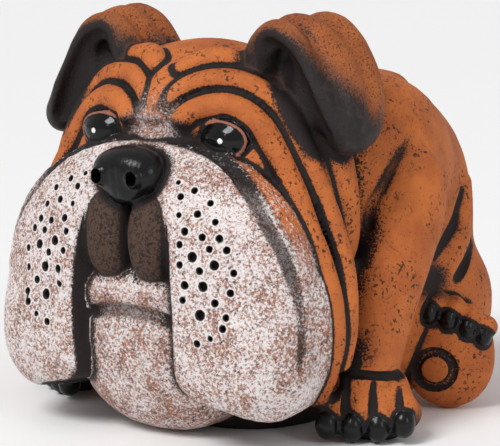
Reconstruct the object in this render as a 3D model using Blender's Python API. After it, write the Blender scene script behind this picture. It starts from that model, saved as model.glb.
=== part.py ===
"""A cast terracotta planter: a sitting bulldog with heavy jowls, hollow, with its planting mouth in the back.

The dog faces -Y and rests on the plane Z = 0. The figure is modelled as clay: rounded masses and rolls are
melted together as signed distances, a skin is drawn over them, and the hollow, the mouth and the drain hole
are then cut out of it. Figure measures are in 200ths of the height. One side is modelled and mirrored.
"""

import bpy
import numpy as np
from math import radians

# Sizes in metres. The figure keeps its proportions to HEIGHT, and each of the others stands on its own.
HEIGHT = 0.200
WALL = 0.007
FLOOR = 0.010
MOUTH_WIDTH = 0.076
RIM_WALL = 0.007
DRAIN_WIDTH = 0.012
SKIN_STEP = 0.0021
HOLLOW_STEP = 0.005

# Faces left in each skin, and sides of the round holes.
FIGURE_TRIANGLES = 8700
HOLLOW_TRIANGLES = 700
HOLE_SIDES = 48
CURVE_STEPS = 4

# Distances are worked out this far from each mass, in figure units.
REACH = 14.0

UNIT = HEIGHT / 200

# Places on the figure, in 200ths of the height.
MOUTH_CENTRE = (0, 58)
MOUTH_TOP = 164
DRAIN_CENTRE = (0, 45)
TOE_TURN = 30
FOOT_TURN = 35

# Rolls of the face, from the brow down behind the jowl: x, y, z and radius at each station.
CHEEK_FOLD = [(40, -66, 134, 3), (48, -65, 127, 4), (55, -63, 120, 5), (63, -62, 110, 6), (71, -62, 99, 6),
              (77, -62, 89, 6.5), (82, -60, 77, 6.5), (84, -58, 66, 6.5), (83, -55, 52, 6.5),
              (78, -51, 36, 6.5), (68, -46, 22, 6)]
BROW_ROLL = [(14, -68, 145, 5), (15.5, -66, 150, 6), (20, -62, 154, 6.5), (27, -59, 156, 7),
             (35, -56, 156.5, 7), (43, -54, 153, 7.2), (50, -52, 147, 7.2), (56, -51, 139, 7.2),
             (62, -51, 129, 7), (69, -52, 117, 6.8), (76, -53, 103, 6.5), (82, -53, 91, 6.2),
             (86, -52, 79, 6.2), (88, -50, 66, 6.2), (87, -47, 52, 6.2), (81, -43, 36, 6), (72, -38, 22, 6)]
OUTER_ROLL = [(5, -66, 155, 3.5), (9, -62, 161, 5), (14, -58, 164.5, 6), (21, -54, 167, 6.3),
              (30, -51, 167.5, 6.5), (39, -48, 166, 6.5), (48, -45, 161, 6.5), (55, -43, 155, 6.5),
              (61, -43, 147, 6.5), (67, -43, 137, 6.3), (73, -42, 124, 6), (79, -41, 110, 5.8),
              (85, -41, 96, 5.5), (89, -41, 82, 5.5), (91, -42, 69, 5.5), (90, -41, 55, 5.5),
              (85, -38, 40, 5.5)]
CROWN_ROLL = [(6, -55, 171, 5), (12, -50, 174, 6.5), (19, -45, 176, 7), (28, -43, 176, 6)]
JOWL_GROOVE = [(0, -71, 146, 2.5), (12, -71, 145, 2.5), (24, -71, 141.5, 2.5), (36, -70.5, 136.5, 2.5),
               (47, -72, 130.5, 2.3), (57, -75, 123, 2.2), (65, -77, 115, 2.2), (71.5, -77.5, 106, 2.2),
               (78.3, -76.5, 95.5, 2.2), (84.5, -74.5, 80, 2.2), (87.4, -72.5, 68, 2.2),
               (87.6, -72.5, 55, 1.8), (86.6, -73.5, 42, 0.8)]
JOWL_GAP = [(0, -104, 114, 20), (0, -104, 98, 27), (0, -104, 68, 29.5), (0, -103, 34, 30), (0, -102, -8, 30)]
LIP = [(0, -84.8, 71, 5.5), (12, -84.5, 71, 5.5), (24, -81.5, 69, 5.5)]
BLAZE = [(0, -64, 146, 8), (0, -62, 156, 8), (0, -55, 166, 8)]
LIP_GROOVE = [(0, -89.5, 62, 1.8), (12, -88.8, 61, 1.8), (22, -86, 59, 1.4), (30, -83, 57, 0.5)]
EYE_CENTRE = (34.5, -57, 141.5)
EYE_RADII = (14.3, 10.5, 10.5)

# Ridges of the folded ear, from the skull over to the hanging tip, and the dark hollow inside its front fold.
EAR_FRONT = [(36, -36, 172, 9), (42, -38, 184, 8), (49, -39, 189, 7.5), (57, -40, 187, 7),
             (64, -40, 179, 6.5), (70, -40, 168, 6.5), (76, -39, 157, 7), (80, -37, 148, 7.5),
             (83, -34, 142, 7.5)]
EAR_MIDDLE = [(38, -22, 176, 10), (46, -24, 187, 10), (55, -24, 188, 10), (65, -25, 182, 10),
              (74, -26, 170, 10), (81, -28, 157, 9.5), (84, -31, 146, 9)]
EAR_BACK = [(38, -6, 172, 10), (48, -7, 185, 10.5), (58, -8, 188.5, 10), (67, -8, 182, 10), (75, -9, 170, 10),
            (80, -12, 157, 10), (84, -20, 147, 9.5), (85, -29, 143, 8)]
EAR_HOLLOW = [(50, -46, 183, 4), (57, -46, 178, 5), (64, -46, 166, 6), (70, -45, 154, 6), (76, -43, 144, 5)]

# Legs and the grooves in the coat.
NECK_ROLL = [(60, -22, 146, 13), (69, -22, 128, 11), (73, -22, 110, 10), (73, -20, 95, 9), (68, -14, 80, 7)]
FRONT_LEG = [(80, 25, 114, 21), (80.5, 21, 98, 20.5), (79.8, 10.8, 75, 19.3), (80.8, -1, 54, 17.5),
             (85.5, -14, 36, 15), (86.5, -18, 30, 14)]
SHOULDER_GROOVE = [(88.5, 27, 144, 0.8), (87.8, 16.5, 137.5, 1.6), (85.8, 5.7, 127.3, 2.2),
                   (81.8, 1, 115.6, 2.4), (77.5, -2, 106.5, 2.6), (75.5, -2, 98, 2.6)]
FLANK_FOLD = [(77, 84, 108, 6), (78.5, 79, 98, 8), (80, 74, 88, 9), (81.5, 66, 78, 8.5), (83, 58, 70, 6.5)]
FLANK_GROOVE = [(84, 76, 107, 0.8), (86, 69, 99, 1.6), (86.5, 64, 91.5, 2.2), (86.5, 54, 83, 2.4),
                (86, 46, 76, 0.8)]
HAUNCH_GROOVE = [(84, 96, 82, 0.5), (85, 90, 81, 1.5), (86, 83.5, 79.5, 2), (89, 74, 75.5, 2),
                 (91, 63, 68, 2.2), (94, 50, 60, 2)]

# Wrist and claw ends of each front toe, and the claws of the hind foot.
FRONT_TOES = [((82, -18, 27), (79, -33, 15)), ((86, -17, 29), (90, -27, 16)),
              ((92, -14, 28), (99, -21, 16)), ((97, -10, 26), (106, -16, 17))]
FRONT_CLAWS = [(77.2, -37.8, 8.6), (87.2, -31.9, 7.8), (97.5, -25.7, 7.8), (107.5, -19.5, 10)]
WRIST_GROOVE = [(72, -22, 34, 1.3), (78, -29, 33.5, 1.3), (85, -30.5, 33, 1.3), (92, -28.8, 32.7, 1.3),
                (97.3, -24, 32, 1.3), (100.2, -18, 31.3, 1.3), (101, -10, 31, 1.3)]
TOE_GROOVES = [[(83.6, -31.5, 30, 0.5), (83.7, -32, 22.7, 1), (85, -34.8, 16, 1.3)],
               [(96.2, -27.5, 29, 0.5), (95.8, -27.5, 22, 1), (97.2, -29.7, 15.6, 1.3)],
               [(103.4, -17, 26.5, 0.5), (106, -21, 21, 1), (108, -23.5, 16, 1)]]
HIND_TOES = [(84.5, 47, 54.5), (92, 52, 52), (99.5, 57, 47.5), (105, 61.5, 42)]
HIND_CLAWS = [(84, 42.5, 50), (91.5, 48.5, 46.5), (99, 54, 42), (105, 59, 38.3)]
PAD_CENTRE = (88, 42, 21.5)
PAD_RADIUS = 9
PAD_GROOVE = 1.8
SOCKET_DEPTH = 4
TAIL = [(0, 118, 52, 11), (0, 127, 58, 9), (0, 131, 67, 6.5)]


def turn_matrix(degrees):
    """Rotation about Z."""
    c, s = np.cos(radians(degrees)), np.sin(radians(degrees))
    return np.array([[c, -s, 0], [s, c, 0], [0, 0, 1]])


def within(points, line):
    """Which points lie in the box round a line of stations, widened by their radii and by REACH."""
    low = (line[:, :3] - line[:, 3:]).min(0) - REACH
    high = (line[:, :3] + line[:, 3:]).max(0) + REACH
    return ((points > low) & (points < high)).all(1)


def ball(points, centre, radii, turn=0, power=2.0):
    """Distance to an ellipsoid, turned about Z. A power above 2 squares it up."""
    middle, radii = np.array(centre, float), np.array(radii, float)
    reach = np.full((2, 1), max(radii))
    near = within(points, np.column_stack([[middle, middle], reach]))
    scaled = np.abs((points[near] - middle) @ turn_matrix(turn) / radii) + 1e-6
    if power == 2.0:
        size = np.sqrt((scaled**2).sum(1))
        slope = np.sqrt(((scaled / radii) ** 2).sum(1)) / size
    else:
        size = (scaled**power).sum(1) ** (1 / power)
        slope = np.sqrt(((scaled ** (power - 1) / radii) ** 2).sum(1)) / size ** (power - 1)
    distance = np.full(len(points), REACH)
    distance[near] = np.minimum((size - 1) / slope, REACH)
    return distance


def smooth_line(stations, steps=CURVE_STEPS):
    """Points along a curve that passes through every station."""
    s = np.array(stations, float)
    s = np.vstack([2 * s[0] - s[1], s, 2 * s[-1] - s[-2]])
    t = np.linspace(0, 1, steps, endpoint=False)[:, None]
    spans = []
    for a, b, c, d in zip(s[:-3], s[1:-2], s[2:-1], s[3:]):
        spans.append(0.5 * (2 * b + (c - a) * t + (2 * a - 5 * b + 4 * c - d) * t**2
                            + (3 * b - a - 3 * c + d) * t**3))
    return np.vstack(spans + [s[-2:-1]])


def roll(points, stations):
    """Distance to a roll of clay whose radius changes from station to station."""
    line = smooth_line(stations)
    near = within(points, line)
    close = points[near]
    nearest = np.full(len(close), REACH)
    for first in range(0, len(line) - 1, CURVE_STEPS):
        span = line[first:first + CURVE_STEPS + 1]
        inside = within(close, span)
        part = close[inside]
        best = nearest[inside]
        for start, end in zip(span[:-1], span[1:]):
            along = end[:3] - start[:3]
            t = np.clip((part - start[:3]) @ along / (along @ along), 0, 1)
            offset = part - start[:3] - t[:, None] * along
            best = np.minimum(best, np.sqrt((offset**2).sum(1)) - start[3] - t * (end[3] - start[3]))
        nearest[inside] = best
    distance = np.full(len(points), REACH)
    distance[near] = nearest
    return distance


def melt(a, b, width):
    """Joins two masses with a fillet about as wide as width."""
    overlap = np.maximum(width - np.abs(a - b), 0) / width
    return np.minimum(a, b) - overlap**2 * width / 4


def carve(mass, tool, width):
    """Takes tool out of mass and eases the edge."""
    return -melt(-mass, tool, width)


def head_core(p):
    skull = ball(p, (0, -20, 127), (67, 47, 57))
    cheeks = ball(p, (0, -32, 94), (80, 42, 84))
    return melt(skull, cheeks, REACH)


def face(p):
    """The head with its eye sockets, eyes and nested rolls."""
    clay = melt(head_core(p), roll(p, BLAZE), 8)
    clay = carve(clay, ball(p, (36, -71, 140), (17, 12, 11.5)), 4)
    clay = melt(clay, roll(p, CHEEK_FOLD), 3)
    for stations in (BROW_ROLL, OUTER_ROLL, CROWN_ROLL):
        clay = melt(clay, roll(p, stations), 2)
    clay = melt(clay, ball(p, EYE_CENTRE, EYE_RADII), 0.5)
    return clay


def jowl_gap(p):
    """The space between the jowls, which widens under them."""
    return melt(roll(p, JOWL_GAP), ball(p, (0, -78, 0), (74, 52, 26), power=2.2), REACH)


def jowls(p):
    bag = ball(p, (0, -64, 68), (88, 33, 74), power=2.2)
    bag = melt(bag, ball(p, (50, -63, 47), (37.5, 31, 36), power=2.4), 5)
    return carve(bag, jowl_gap(p), 5)


def chin(p):
    clay = melt(ball(p, (0, -55, 52), (51, 33.5, 52), power=2.3), roll(p, LIP), 9)
    return carve(clay, roll(p, LIP_GROOVE), 4)


def muzzle(p):
    """Two hanging jowls, with the chin and the two lobes under the nose set in the gap between them."""
    clay = melt(jowls(p), ball(p, (12, -83.5, 97), (12.5, 12, 21), power=2.4), 1.5)
    clay = melt(clay, chin(p), 2)
    nose = melt(ball(p, (0, -85, 130), (18, 13, 9.5)), ball(p, (0, -88, 122), (12.5, 9.5, 10.5)), 6)
    nostril_wing = ball(p, (10, -88, 126), (8.5, 9, 8))
    return melt(clay, melt(nose, nostril_wing, 4), 2)


def ear(p):
    ridges = melt(roll(p, EAR_FRONT), roll(p, EAR_MIDDLE), 4)
    ridges = melt(ridges, roll(p, EAR_BACK), 4)
    web = ball(p, (62, -20, 160), (20, 20, 26))
    return carve(melt(ridges, web, 8), roll(p, EAR_HOLLOW), 3)


def trunk(p):
    back = ball(p, (0, 54, 77), (86, 73, 89), power=2.7)
    belly = ball(p, (0, 20, 28), (60, 76, 38), power=3.0)
    return melt(back, belly, REACH)


def front_leg(p):
    clay = roll(p, FRONT_LEG)
    clay = melt(clay, ball(p, (90, -15, 12), (22, 17, 13), turn=TOE_TURN), 5)
    for wrist, tip in FRONT_TOES:
        clay = melt(clay, roll(p, [wrist + (6.5,), tip + (6.5,)]), 1.5)
    for groove in TOE_GROOVES:
        clay = carve(clay, roll(p, groove), 1.5)
    for centre in FRONT_CLAWS:
        clay = melt(clay, ball(p, centre, (6.2, 6.5, 7.6), turn=TOE_TURN), 0.7)
    return carve(clay, roll(p, WRIST_GROOVE), 2)


def hind_leg(p):
    """The thigh, and the foot that stands on its heel with the sole forward."""
    clay = ball(p, (66, 74, 48), (30, 36, 38))
    foot = ball(p, (88.5, 55.5, 26.5), (23, 12.5, 26.5), turn=FOOT_TURN, power=2.1)
    clay = melt(clay, carve(foot, pad_groove(p, foot), 1), 3)
    for centre in HIND_TOES:
        clay = melt(clay, ball(p, centre, (6.8, 8, 6.3), turn=FOOT_TURN), 2)
    for centre in HIND_CLAWS:
        clay = melt(clay, ball(p, centre, (5.4, 7, 6.6), turn=FOOT_TURN), 0.7)
    return clay


def pad_groove(p, foot):
    """The ring groove round the pad, the same depth all round below the sole."""
    local = (p - np.array(PAD_CENTRE)) @ turn_matrix(FOOT_TURN)
    ring = np.abs(np.hypot(local[:, 0], local[:, 2]) - PAD_RADIUS) - PAD_GROOVE
    return np.maximum(np.maximum(ring, -foot - PAD_GROOVE), local[:, 1] - 3 * PAD_GROOVE)


def shoulder(p):
    return ball(p, (56, 34, 124), (34, 44, 42))


def body(p):
    clay = melt(trunk(p), shoulder(p), REACH)
    clay = melt(clay, roll(p, NECK_ROLL), 2)
    clay = melt(clay, front_leg(p), 6)
    clay = melt(clay, roll(p, FLANK_FOLD), 4)
    for groove in (SHOULDER_GROOVE, FLANK_GROOVE):
        clay = carve(clay, roll(p, groove), 3)
    clay = melt(clay, roll(p, TAIL), 6)
    return carve(melt(clay, hind_leg(p), 6), roll(p, HAUNCH_GROOVE), 2)


def rim(p):
    """The low collar round the planting mouth."""
    x, y = MOUTH_CENTRE
    outer = (MOUTH_WIDTH / 2 + RIM_WALL) / UNIT
    return ball(p, (x, y, MOUTH_TOP - 24), (outer, outer, 24), power=5.0)


def figure(points):
    p = points * [1, 1, 1]
    p[:, 0] = np.abs(p[:, 0])
    clay = carve(melt(face(p), muzzle(p), 1), roll(p, JOWL_GROOVE), 3)
    clay = melt(clay, body(p), 3)
    clay = melt(clay, ear(p), 3)
    return melt(clay, rim(p), 4)


def hollow(points):
    """The empty inside of the head, the jowls and the body, one wall in from their plain masses."""
    p = points * [1, 1, 1]
    p[:, 0] = np.abs(p[:, 0])
    head = melt(head_core(p) + SOCKET_DEPTH, melt(jowls(p), chin(p), 8), 8)
    torso = melt(trunk(p), shoulder(p), REACH)
    inside = melt(head, torso, 12) + WALL / UNIT
    return np.maximum(inside, FLOOR / UNIT - points[:, 2])


def close_pinches(field):
    """Fills the corners where two masses would touch along an edge alone, so the skin stays one sheet."""
    pairs = ((0, 1), (0, 2), (1, 2))
    found = True
    while found:
        found = False
        for first, second in pairs:
            corners = []
            for i, j in ((0, 0), (0, 1), (1, 0), (1, 1)):
                window = [slice(None)] * 3
                window[first] = slice(i, i - 1 or None)
                window[second] = slice(j, j - 1 or None)
                corners.append(field[tuple(window)])
            solid = [corner < 0 for corner in corners]
            pinch = (solid[0] == solid[3]) & (solid[1] == solid[2]) & (solid[0] != solid[1])
            found = found or bool(pinch.any())
            for corner in corners:
                corner[pinch & (corner >= 0)] = -0.001


def sample(mass, low, high, step):
    """Distances on a grid. Blocks of it that lie clear of the surface share one value."""
    block = 4
    counts = np.ceil((np.array(high) - low) / (step * block)).astype(int)
    middles = np.stack(np.indices(counts), -1).reshape(-1, 3) * block + (block - 1) / 2
    coarse = mass(low + step * middles)
    near = np.argwhere(np.abs(coarse) < step * block * 0.9).ravel()
    field = np.repeat(coarse, block**3).reshape(*counts, block, block, block)
    inner = np.stack(np.indices((block,) * 3), -1).reshape(-1, 3) - (block - 1) / 2
    fine = (middles[near][:, None] + inner).reshape(-1, 3)
    values = np.concatenate([mass(low + step * part) for part in np.array_split(fine, 16)])
    field.reshape(-1, block**3)[near] = values.reshape(len(near), -1)
    return field.transpose(0, 3, 1, 4, 2, 5).reshape(counts * block)


def skin(mass, low, high, step):
    """Vertices and four-sided faces of the surface where the distance is zero."""
    low = np.array(low, float)
    field = sample(mass, low, high, step)
    close_pinches(field)
    solid = field < 0
    cells = tuple(n - 1 for n in field.shape)
    total = np.zeros(cells + (3,))
    count = np.zeros(cells)
    for axis in range(3):
        for i in (0, 1):
            for j in (0, 1):
                start = np.insert([i, j], axis, 0)
                end = np.insert([i, j], axis, 1)
                a = field[tuple(slice(s, s + n) for s, n in zip(start, cells))]
                b = field[tuple(slice(s, s + n) for s, n in zip(end, cells))]
                crossed = (a < 0) != (b < 0)
                share = np.where(crossed, a / np.where(crossed, a - b, 1), 0)
                for k in range(3):
                    total[..., k] += np.where(crossed, share if k == axis else start[k], 0)
                count += crossed
    used = count > 0
    number = np.full(cells, -1)
    number[used] = np.arange(used.sum())
    vertices = (np.argwhere(used) + total[used] / count[used][:, None]) * step + low
    faces = []
    for axis in range(3):
        b, c = (axis + 1) % 3, (axis + 2) % 3
        here = [slice(1, -1)] * 3
        there = [slice(1, -1)] * 3
        here[axis] = slice(0, -1)
        there[axis] = slice(1, None)
        crossings = np.argwhere(solid[tuple(here)] != solid[tuple(there)])
        leaving = solid[tuple(here)][tuple(crossings.T)]
        corner = crossings + 1
        corner[:, axis] -= 1
        ring = []
        for step_b, step_c in ((1, 1), (0, 1), (0, 0), (1, 0)):
            cell = corner - 0
            cell[:, b] -= step_b
            cell[:, c] -= step_c
            ring.append(number[tuple(cell.T)])
        ring = np.stack(ring, 1)
        faces.append(np.where(leaving[:, None], ring, ring[:, ::-1]))
    return vertices, np.vstack(faces)


def add_object(name, vertices, faces):
    mesh = bpy.data.meshes.new(name)
    mesh.from_pydata([tuple(v) for v in vertices.tolist()], [], [tuple(f) for f in faces])
    mesh.update()
    thing = bpy.data.objects.new(name, mesh)
    bpy.context.collection.objects.link(thing)
    return thing


def add_skin(name, mass, low, high, step, triangles):
    """A skin in metres, thinned to about the given number of triangles."""
    vertices, faces = skin(mass, low, high, step / UNIT)
    thing = add_object(name, vertices * UNIT, faces.tolist())
    thin = thing.modifiers.new("Thin", "DECIMATE")
    thin.ratio = min(1.0, triangles / (2 * len(faces)))
    return thing


def add_cylinder(name, width, centre, bottom, top):
    """An upright cylinder, in metres."""
    angles = np.linspace(0, 2 * np.pi, HOLE_SIDES, endpoint=False)
    circle = np.stack([np.cos(angles), np.sin(angles)], 1) * width / 2 + np.array(centre)
    lower = np.column_stack([circle, np.full(HOLE_SIDES, bottom)])
    upper = np.column_stack([circle, np.full(HOLE_SIDES, top)])
    sides = [(i, (i + 1) % HOLE_SIDES, HOLE_SIDES + (i + 1) % HOLE_SIDES, HOLE_SIDES + i)
             for i in range(HOLE_SIDES)]
    caps = [tuple(reversed(range(HOLE_SIDES))), tuple(range(HOLE_SIDES, 2 * HOLE_SIDES))]
    return add_object(name, np.vstack([lower, upper]), sides + caps)


def add_box(name, low, high):
    corners = np.array([(x, y, z) for x in (low[0], high[0]) for y in (low[1], high[1])
                        for z in (low[2], high[2])])
    faces = [(0, 1, 3, 2), (4, 6, 7, 5), (0, 4, 5, 1), (2, 3, 7, 6), (0, 2, 6, 4), (1, 5, 7, 3)]
    return add_object(name, corners, faces)


def cut_away(thing, cutter):
    cutter.hide_render = True
    cutter.display_type = "WIRE"
    cut = thing.modifiers.new(cutter.name, "BOOLEAN")
    cut.operation = "DIFFERENCE"
    cut.object = cutter


def terracotta():
    material = bpy.data.materials.new("painted_terracotta")
    material.use_nodes = True
    shader = material.node_tree.nodes["Principled BSDF"]
    shader.inputs["Base Color"].default_value = (0.52, 0.16, 0.045, 1)
    shader.inputs["Roughness"].default_value = 0.75
    shader.inputs["Metallic"].default_value = 0.0
    return material


def build():
    for thing in list(bpy.data.objects):
        bpy.data.objects.remove(thing)

    planter = add_skin("bulldog_planter", figure, (-124, -112, -10), (124, 140, 206), SKIN_STEP,
                       FIGURE_TRIANGLES)
    planter.data.materials.append(terracotta())

    inside = add_skin("hollow_cutter", hollow, (-96, -96, -4), (96, 132, 190), HOLLOW_STEP, HOLLOW_TRIANGLES)
    mouth_centre = np.array(MOUTH_CENTRE) * UNIT
    drain_centre = np.array(DRAIN_CENTRE) * UNIT
    ground = add_box("ground_cutter", (-HEIGHT, -HEIGHT, -HEIGHT), (HEIGHT, HEIGHT, 0))
    mouth = add_cylinder("mouth_cutter", MOUTH_WIDTH, mouth_centre, 0.6 * HEIGHT, 1.1 * HEIGHT)
    drain = add_cylinder("drain_cutter", DRAIN_WIDTH, drain_centre, -FLOOR, 2 * FLOOR)
    for cutter in (ground, inside, mouth, drain):
        cut_away(planter, cutter)

    planter.data.shade_smooth()
    planter.data.set_sharp_from_angle(angle=radians(50))


build()
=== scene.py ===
"""Looks of the bulldog planter: the fine surface of its one casting, its paint, and a plain studio.

The casting is modelled like clay, as signed distances in millimetres that are melted together and skinned,
and the same distances tell the paint where each mass lies. One side is modelled and mirrored.
"""

from math import radians

import bpy
import numpy as np
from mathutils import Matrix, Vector


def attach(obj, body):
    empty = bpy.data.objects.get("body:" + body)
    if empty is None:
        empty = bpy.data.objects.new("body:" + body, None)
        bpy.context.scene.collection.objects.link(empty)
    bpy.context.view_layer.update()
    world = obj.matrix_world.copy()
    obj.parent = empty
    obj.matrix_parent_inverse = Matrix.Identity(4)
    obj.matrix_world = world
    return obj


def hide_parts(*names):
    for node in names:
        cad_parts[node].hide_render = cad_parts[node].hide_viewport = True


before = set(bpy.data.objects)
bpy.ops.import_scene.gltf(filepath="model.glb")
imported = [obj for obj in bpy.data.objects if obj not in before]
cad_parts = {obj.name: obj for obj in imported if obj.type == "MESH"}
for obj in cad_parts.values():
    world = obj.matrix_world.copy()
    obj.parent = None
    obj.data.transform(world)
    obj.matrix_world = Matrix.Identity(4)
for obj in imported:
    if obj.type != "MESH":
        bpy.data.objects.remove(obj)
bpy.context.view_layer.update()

MM = 0.001

# Sizes of the vessel in millimetres, as the solid has them.
WALL = 7
FLOOR = 10
MOUTH_WIDTH = 76
RIM_WALL = 7
MOUTH_CENTRE = (0, 58)
MOUTH_TOP = 164
DRAIN_WIDTH = 12
DRAIN_CENTRE = (0, 45)

# The skin: grid step, triangles kept, and how far from each mass distances are worked out.
SKIN_STEP = 1.0
SKIN_TRIANGLES = 175000
HOLLOW_STEP = 3
HOLLOW_TRIANGLES = 9000
HOLE_SIDES = 96
CURVE_STEPS = 4
REACH = 14.0
FIGURE_LOW = (-124, -112, -10)
FIGURE_HIGH = (124, 140, 206)
HOLLOW_LOW = (-96, -96, -4)
HOLLOW_HIGH = (96, 132, 190)
MOUTH_CUT = (120, 220)

# The photograph's camera: azimuth and elevation in degrees, and what it looks at.
CAMERA_AZIMUTH = 35
CAMERA_ELEVATION = 9
CAMERA_TARGET = (0, 10, 90.5)
CAMERA_DISTANCE = 1138.5
CAMERA_LENS = 165.6

# Turns of the front toes and the hind feet about Z, in degrees.
TOE_TURN = 30
FOOT_TURN = 35

# Rolls of the face, from the brow down behind the jowl: x, y, z and radius at each station.
CHEEK_FOLD = [(40, -66, 134, 3), (48, -65, 127, 4), (55, -63, 120, 5), (63, -62, 110, 6), (71, -62, 99, 6),
              (77, -62, 89, 6.5), (82, -60, 77, 6.5), (84, -58, 66, 6.5), (83, -55, 52, 6.5),
              (78, -51, 36, 6.5), (68, -46, 22, 6)]
BROW_ROLL = [(14, -68, 145, 5), (15.5, -66, 150, 6), (20, -62, 154, 6.5), (27, -59, 156, 7),
             (35, -56, 156.5, 7), (43, -54, 153, 7.2), (50, -52, 147, 7.2), (56, -51, 139, 7.2),
             (62, -51, 129, 7), (69, -52, 117, 6.8), (76, -53, 103, 6.5), (82, -53, 91, 6.2),
             (86, -52, 79, 6.2), (88, -50, 66, 6.2), (87, -47, 52, 6.2), (81, -43, 36, 6), (72, -38, 22, 6)]
OUTER_ROLL = [(5, -66, 155, 3.5), (9, -62, 161, 5), (14, -58, 164.5, 6), (21, -54, 167, 6.3),
              (30, -51, 167.5, 6.5), (39, -48, 166, 6.5), (48, -45, 161, 6.5), (55, -43, 155, 6.5),
              (61, -43, 147, 6.5), (67, -43, 137, 6.3), (73, -42, 124, 6), (79, -41, 110, 5.8),
              (85, -41, 96, 5.5), (89, -41, 82, 5.5), (91, -42, 69, 5.5), (90, -41, 55, 5.5),
              (85, -38, 40, 5.5)]
CROWN_ROLL = [(6, -55, 171, 5), (12, -50, 174, 6.5), (19, -45, 176, 7), (28, -43, 176, 6)]
JOWL_GROOVE = [(0, -71, 146, 2.5), (12, -71, 145, 2.5), (24, -71, 141.5, 2.5), (36, -70.5, 136.5, 2.5),
               (47, -72, 130.5, 2.3), (57, -75, 123, 2.2), (65, -77, 115, 2.2), (71.5, -77.5, 106, 2.2),
               (78.3, -76.5, 95.5, 2.2), (84.5, -74.5, 80, 2.2), (87.4, -72.5, 68, 2.2),
               (87.6, -72.5, 55, 1.8), (86.6, -73.5, 42, 0.8)]
JOWL_GAP = [(0, -104, 114, 20), (0, -104, 98, 27), (0, -104, 68, 29.5), (0, -103, 34, 30), (0, -102, -8, 30)]
LIP = [(0, -84.8, 71, 5.5), (12, -84.5, 71, 5.5), (24, -81.5, 69, 5.5)]
BLAZE = [(0, -64, 146, 8), (0, -62, 156, 8), (0, -55, 166, 8)]
LIP_GROOVE = [(0, -89.5, 62, 1.8), (12, -88.8, 61, 1.8), (22, -86, 59, 1.4), (30, -83, 57, 0.5)]
NOSE_GROOVE = [(0, -98.5, 134, 0.8), (0, -99, 127, 1), (0, -98, 119, 1), (0, -95, 113, 1)]
NOSTRIL = (10, -97, 125.5)

# Eye: centre and radii of the ball, half the opening between the lids, the lid's thickness and the glint.
EYE_CENTRE = (34.5, -57, 141.5)
EYE_RADII = (14.3, 10.5, 10.5)
EYE_OPENING = (13.2, 8.6)
LID_RADIUS = 1
GLINT = (37, -67.6, 141.5)
GLINT_RADIUS = 1.5

# Ridges of the folded ear, from the skull over to the hanging tip, and the dark hollow inside its front fold.
EAR_FRONT = [(36, -36, 172, 9), (42, -38, 184, 8), (49, -39, 189, 7.5), (57, -40, 187, 7),
             (64, -40, 179, 6.5), (70, -40, 168, 6.5), (76, -39, 157, 7), (80, -37, 148, 7.5),
             (83, -34, 142, 7.5)]
EAR_MIDDLE = [(38, -22, 176, 10), (46, -24, 187, 10), (55, -24, 188, 10), (65, -25, 182, 10),
              (74, -26, 170, 10), (81, -28, 157, 9.5), (84, -31, 146, 9)]
EAR_BACK = [(38, -6, 172, 10), (48, -7, 185, 10.5), (58, -8, 188.5, 10), (67, -8, 182, 10), (75, -9, 170, 10),
            (80, -12, 157, 10), (84, -20, 147, 9.5), (85, -29, 143, 8)]
EAR_HOLLOW = [(50, -46, 183, 4), (57, -46, 178, 5), (64, -46, 166, 6), (70, -45, 154, 6), (76, -43, 144, 5)]

# Legs and the grooves in the coat.
NECK_ROLL = [(60, -22, 146, 13), (69, -22, 128, 11), (73, -22, 110, 10), (73, -20, 95, 9), (68, -14, 80, 7)]
FRONT_LEG = [(80, 25, 114, 21), (80.5, 21, 98, 20.5), (79.8, 10.8, 75, 19.3), (80.8, -1, 54, 17.5),
             (85.5, -14, 36, 15), (86.5, -18, 30, 14)]
SHOULDER_GROOVE = [(88.5, 27, 144, 0.8), (87.8, 16.5, 137.5, 1.6), (85.8, 5.7, 127.3, 2.2),
                   (81.8, 1, 115.6, 2.4), (77.5, -2, 106.5, 2.6), (75.5, -2, 98, 2.6)]
FLANK_FOLD = [(77, 84, 108, 6), (78.5, 79, 98, 8), (80, 74, 88, 9), (81.5, 66, 78, 8.5), (83, 58, 70, 6.5)]
FLANK_GROOVE = [(84, 76, 107, 0.8), (86, 69, 99, 1.6), (86.5, 64, 91.5, 2.2), (86.5, 54, 83, 2.4),
                (86, 46, 76, 0.8)]
HAUNCH_GROOVE = [(84, 96, 82, 0.5), (85, 90, 81, 1.5), (86, 83.5, 79.5, 2), (89, 74, 75.5, 2),
                 (91, 63, 68, 2.2), (94, 50, 60, 2)]

# Wrist and claw ends of each front toe, the claws of the hind foot, and the spot of painted shade above its
# toes.
FRONT_TOES = [((82, -18, 27), (79, -33, 15)), ((86, -17, 29), (90, -27, 16)),
              ((92, -14, 28), (99, -21, 16)), ((97, -10, 26), (106, -16, 17))]
FRONT_CLAWS = [(77.2, -37.8, 8.6), (87.2, -31.9, 7.8), (97.5, -25.7, 7.8), (107.5, -19.5, 10)]
WRIST_GROOVE = [(72, -22, 34, 1.3), (78, -29, 33.5, 1.3), (85, -30.5, 33, 1.3), (92, -28.8, 32.7, 1.3),
                (97.3, -24, 32, 1.3), (100.2, -18, 31.3, 1.3), (101, -10, 31, 1.3)]
TOE_GROOVES = [[(83.6, -31.5, 30, 0.5), (83.7, -32, 22.7, 1), (85, -34.8, 16, 1.3)],
               [(96.2, -27.5, 29, 0.5), (95.8, -27.5, 22, 1), (97.2, -29.7, 15.6, 1.3)],
               [(103.4, -17, 26.5, 0.5), (106, -21, 21, 1), (108, -23.5, 16, 1)]]
HIND_TOES = [(84.5, 47, 54.5), (92, 52, 52), (99.5, 57, 47.5), (105, 61.5, 42)]
HIND_CLAWS = [(84, 42.5, 50), (91.5, 48.5, 46.5), (99, 54, 42), (105, 59, 38.3)]
ABOVE_TOES = (84, 42, 66)
ABOVE_TOES_RADII = (14, 14, 11)
PAD_CENTRE = (88, 42, 21.5)
PAD_RADIUS = 9
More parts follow.
